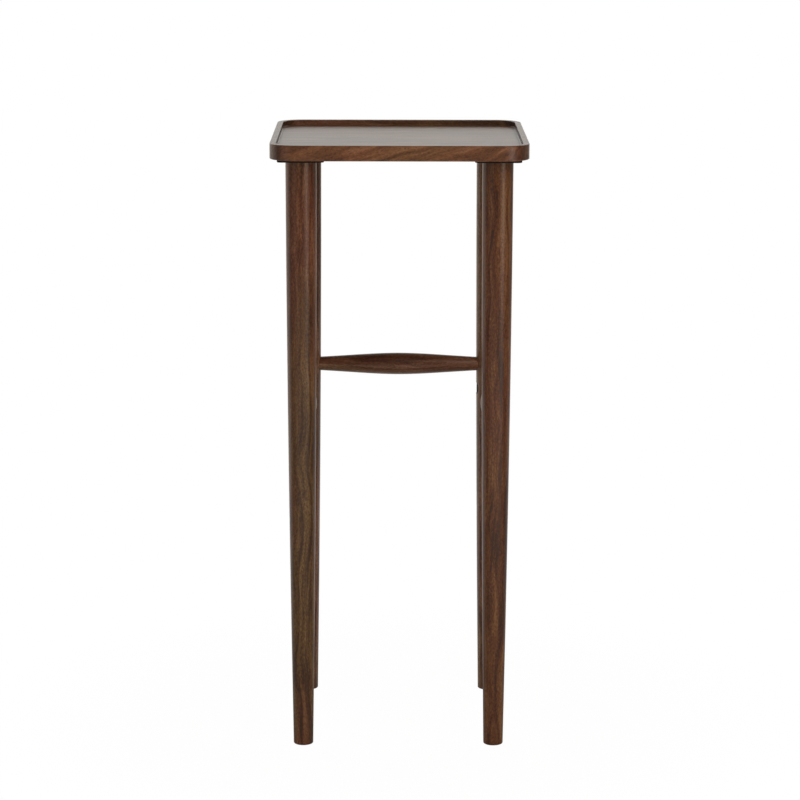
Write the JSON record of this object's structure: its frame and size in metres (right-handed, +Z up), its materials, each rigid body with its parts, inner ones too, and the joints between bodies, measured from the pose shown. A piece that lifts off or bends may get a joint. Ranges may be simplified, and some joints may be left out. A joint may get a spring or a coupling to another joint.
{
  "type": "plant stand",
  "caption": "Tall slim walnut plant stand: a square tray with a low rim on turned, tapering legs, tied by spindle stretchers at the back and sides.",
  "frame": {"origin": "on the floor, under the middle of the tray", "axes": "+Z up, +Y towards the rear stretcher, +X to the right seen from the open front"},
  "size_m": [0.316, 0.316, 0.762],
  "materials": {
    "tray_walnut": "walnut, grain from left to right, satin lacquer",
    "leg_walnut": "walnut, turned with the grain along the piece, satin lacquer",
    "black_steel": "satin black powder coat",
    "black_screws": "black oxide",
    "zinc_steel": "bright zinc plate",
    "cam_zinc": "raw die-cast zinc"
  },
  "bodies": {
    "stand": {"tray_stave_1": "tray_walnut", "tray_stave_2": "tray_walnut", "tray_stave_3": "tray_walnut", "tray_stave_4": "tray_walnut", "tray_stave_5": "tray_walnut", "leg_front_left": "leg_walnut", "leg_plate_front_left": "black_steel", "weld_nut_front_left": "zinc_steel", "hanger_bolt_front_left": "zinc_steel", "plate_screws_front_left": "black_screws", "leg_front_right": "leg_walnut", "leg_plate_front_right": "black_steel", "weld_nut_front_right": "zinc_steel", "hanger_bolt_front_right": "zinc_steel", "plate_screws_front_right": "black_screws", "leg_rear_left": "leg_walnut", "leg_plate_rear_left": "black_steel", "weld_nut_rear_left": "zinc_steel", "hanger_bolt_rear_left": "zinc_steel", "plate_screws_rear_left": "black_screws", "leg_rear_right": "leg_walnut", "leg_plate_rear_right": "black_steel", "weld_nut_rear_right": "zinc_steel", "hanger_bolt_rear_right": "zinc_steel", "plate_screws_rear_right": "black_screws", "stretcher_rear": "leg_walnut", "stretcher_left": "leg_walnut", "cam_bolt_left": "zinc_steel", "stretcher_right": "leg_walnut", "cam_bolt_right": "zinc_steel"},
    "left_cam": {"cam_lock_left": "cam_zinc"},
    "right_cam": {"cam_lock_right": "cam_zinc"}
  },
  "joints": [
    {"name": "left_cam_turn", "type": "hinge", "parent": "stand", "child": "left_cam", "pos_m": [-0.12, 0.12, 0.412], "axis": [-1, 0, 0], "range_deg": [0, 180]},
    {"name": "right_cam_turn", "type": "hinge", "parent": "stand", "child": "right_cam", "pos_m": [0.12, 0.12, 0.412], "axis": [-1, 0, 0], "range_deg": [0, 180]}
  ]
}
